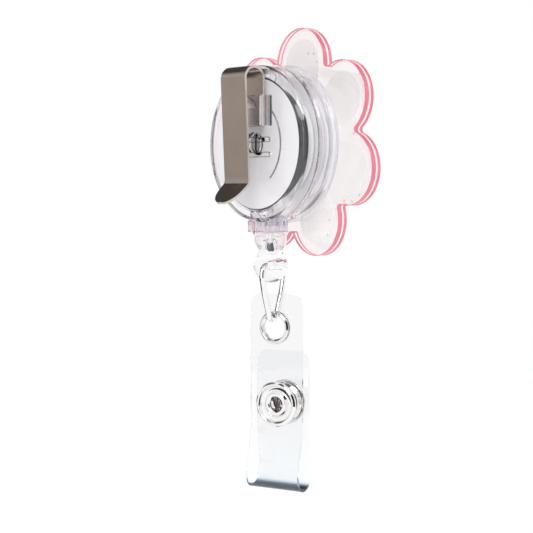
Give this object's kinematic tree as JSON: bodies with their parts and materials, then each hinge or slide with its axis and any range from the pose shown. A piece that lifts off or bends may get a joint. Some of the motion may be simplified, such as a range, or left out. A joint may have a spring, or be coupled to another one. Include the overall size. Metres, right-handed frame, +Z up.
{
  "type": "retractable badge reel",
  "caption": "Retractable badge reel: round clear case with a sprung cord, a belt clip, a flower face, a swivelling wire loop and a snap strap.",
  "frame": {"origin": "middle of the gap under the belt clip, on the reel's axis, where the belt or pocket edge sits", "axes": "+Z up along the cord, +Y out of the back towards the belt clip, -Y towards the flower face, +X to the viewer's left when looking at the back"},
  "size_m": [0.047, 0.0235, 0.0954],
  "materials": {
    "clear_case": "clear polished polystyrene",
    "clear_guide": "clear moulded",
    "clear_bead": "clear moulded",
    "bright_disc": "glossy white with a bright plated rim",
    "post_steel": "polished",
    "spool_white": "moulded white",
    "spring_steel": "blued strip",
    "cord_white": "braided nylon",
    "knot_dark": "melted cord end",
    "chrome_wire": "nickel plated",
    "chrome_snap": "nickel plated",
    "vinyl": "clear flexible vinyl",
    "clip_steel": "satin spring steel",
    "foam_pad": "white foam tape",
    "pink_acrylic": "clear acrylic with a pink tint and fine glitter",
    "petal_white": "off-white",
    "centre_yellow": "glossy dome"
  },
  "bodies": {
    "case": {"back_shell": "clear_case", "front_shell": "clear_case", "cord_guide": "clear_guide", "axle_post": "post_steel", "clip_base": "clip_steel", "adhesive_pad": "foam_pad", "flower_back": "pink_acrylic", "flower_front": "pink_acrylic", "petal_inlay_1": "petal_white", "petal_inlay_2": "petal_white", "petal_inlay_3": "petal_white", "petal_inlay_4": "petal_white", "petal_inlay_5": "petal_white", "petal_inlay_6": "petal_white", "petal_inlay_7": "petal_white", "flower_centre": "centre_yellow"},
    "clip": {"clip_arm": "clip_steel"},
    "reel": {"spool": "spool_white", "spool_cover": "bright_disc", "power_spring": "spring_steel", "cord_winding": "cord_white"},
    "cord_end": {"cord_lead": "cord_white", "cord_knot": "knot_dark"},
    "bead": {"end_bead": "clear_bead"},
    "loop": {"wire_loop": "chrome_wire"},
    "strap": {"strap_main": "vinyl", "eyelet": "chrome_snap", "eyelet_washer": "chrome_snap", "snap_ring": "chrome_snap", "snap_stud": "chrome_snap"},
    "flap": {"strap_flap": "vinyl", "snap_socket": "chrome_snap", "snap_cap": "chrome_snap"}
  },
  "joints": [
    {"name": "cord_pull", "type": "slide", "parent": "case", "child": "cord_end", "axis": [0, 0, -1], "range_m": [0, 0.6], "stiffness_N_per_m": 1.5, "springref_m": -0.9, "deforming": ["cord_lead"]},
    {"name": "spool_spin", "type": "hinge", "parent": "case", "child": "reel", "pos_m": [0, 0, 0], "axis": [0, 1, 0], "range_deg": [-3450, 0]},
    {"name": "hook_swivel", "type": "hinge", "parent": "cord_end", "child": "bead", "pos_m": [0, -0.0066, -0.02475], "axis": [0, 0, 1], "continuous": true},
    {"name": "loop_swing", "type": "hinge", "parent": "bead", "child": "loop", "pos_m": [0, -0.0066, -0.02475], "axis": [-0.3907, 0.9205, 0], "range_deg": [-60, 60]},
    {"name": "strap_swing", "type": "hinge", "parent": "loop", "child": "strap", "pos_m": [0.00041, -0.00757, -0.03605], "axis": [-0.3584, 0.9336, 0], "range_deg": [-30, 30]},
    {"name": "flap_open", "type": "hinge", "parent": "strap", "child": "flap", "pos_m": [0.00101, -0.01119, -0.063], "axis": [0.9336, 0.3584, 0], "range_deg": [0, 120]},
    {"name": "clip_flex", "type": "hinge", "parent": "case", "child": "clip", "pos_m": [0, 0.00065, 0.01515], "axis": [1, 0, 0], "range_deg": [-6, 12], "stiffness_Nm_per_rad": 0.5}
  ],
  "couplings": [
    {"joint": "spool_spin", "follows": "cord_pull", "rad_per_m": -100}
  ]
}
